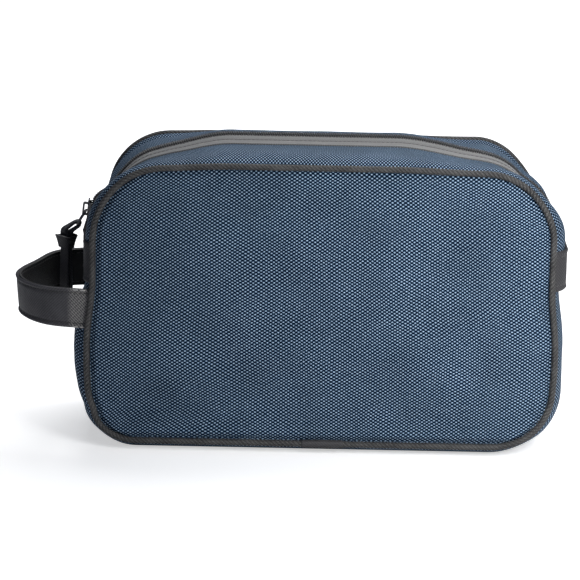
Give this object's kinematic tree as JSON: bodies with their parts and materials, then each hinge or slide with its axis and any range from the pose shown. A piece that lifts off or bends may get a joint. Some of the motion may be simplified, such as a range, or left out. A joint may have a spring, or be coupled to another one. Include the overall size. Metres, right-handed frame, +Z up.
{
  "type": "shaving kit bag",
  "caption": "Navy nylon shaving kit bag with charcoal piping, a zip over the top and a leatherette handle on one end.",
  "frame": {"origin": "middle of the flat base, on the surface that it stands on", "axes": "+X along the bag, away from the handle; -Y out of the front panel; +Z up"},
  "size_m": [0.3037, 0.112, 0.1686],
  "materials": {
    "navy_cloth": "satin",
    "lining_cloth": "matte",
    "foam": "matte",
    "binding_tape": "matte",
    "charcoal_leather": "satin",
    "zip_tape": "matte",
    "zip_coil": "satin",
    "gunmetal": "polished"
  },
  "bodies": {
    "root": {"front_panel": "navy_cloth", "front_foam": "foam", "front_lining": "lining_cloth", "back_panel": "navy_cloth", "back_foam": "foam", "back_lining": "lining_cloth", "lower_gusset": "navy_cloth", "gusset_foam": "foam", "gusset_lining": "lining_cloth", "front_strip": "navy_cloth", "front_strip_lining": "lining_cloth", "front_zip_tape": "zip_tape", "front_zip_coil": "zip_coil", "front_piping": "charcoal_leather", "front_piping_splice": "charcoal_leather", "front_seam_binding": "binding_tape", "rear_strip": "navy_cloth", "rear_strip_lining": "lining_cloth", "rear_zip_tape": "zip_tape", "rear_zip_coil": "zip_coil", "rear_piping": "charcoal_leather", "rear_piping_splice": "charcoal_leather", "rear_seam_binding": "binding_tape", "left_end_patch": "charcoal_leather", "right_end_patch": "charcoal_leather", "handle_end_front": "charcoal_leather", "handle_end_rear": "charcoal_leather", "zip_end_stops": "gunmetal"},
    "slider": {"slider": "gunmetal"},
    "puller": {"puller_loop": "gunmetal"},
    "pull": {"pull_strap": "charcoal_leather", "pull_collar": "charcoal_leather"},
    "handle": {"handle_strap": "charcoal_leather", "handle_backing": "charcoal_leather"},
    "front_lip": {"front_strip_lip": "navy_cloth", "front_strip_lining_lip": "lining_cloth", "front_zip_tape_lip": "zip_tape", "front_zip_coil_lip": "zip_coil"},
    "rear_lip": {"rear_strip_lip": "navy_cloth", "rear_strip_lining_lip": "lining_cloth", "rear_zip_tape_lip": "zip_tape", "rear_zip_coil_lip": "zip_coil"}
  },
  "joints": [
    {"name": "slider_travel", "type": "hinge", "parent": "root", "child": "slider", "pos_m": [-0.083, 0, 0.1208], "axis": [0, -1, 0], "range_deg": [-62, 2]},
    {"name": "puller_swing", "type": "hinge", "parent": "slider", "child": "puller", "pos_m": [-0.13283, 0, 0.12375], "axis": [0, -1, 0], "range_deg": [-0.8, 24.8]},
    {"name": "pull_swing", "type": "hinge", "parent": "puller", "child": "pull", "pos_m": [-0.1376, 0, 0.11612], "axis": [0, -1, 0], "range_deg": [-15, 8]},
    {"name": "handle_swing", "type": "hinge", "parent": "root", "child": "handle", "pos_m": [-0.1343, 0, 0.0803], "axis": [0, 1, 0], "range_deg": [-30, 26], "stiffness_Nm_per_rad": 0.08},
    {"name": "front_lip_fold", "type": "hinge", "parent": "root", "child": "front_lip", "pos_m": [0, -0.046, 0.16665], "axis": [1, 0, 0], "range_deg": [0, 90]},
    {"name": "rear_lip_fold", "type": "hinge", "parent": "root", "child": "rear_lip", "pos_m": [0, 0.046, 0.16665], "axis": [-1, 0, 0], "range_deg": [0, 90]}
  ],
  "couplings": [
    {"joint": "puller_swing", "follows": "slider_travel", "ratio": -0.4}
  ]
}
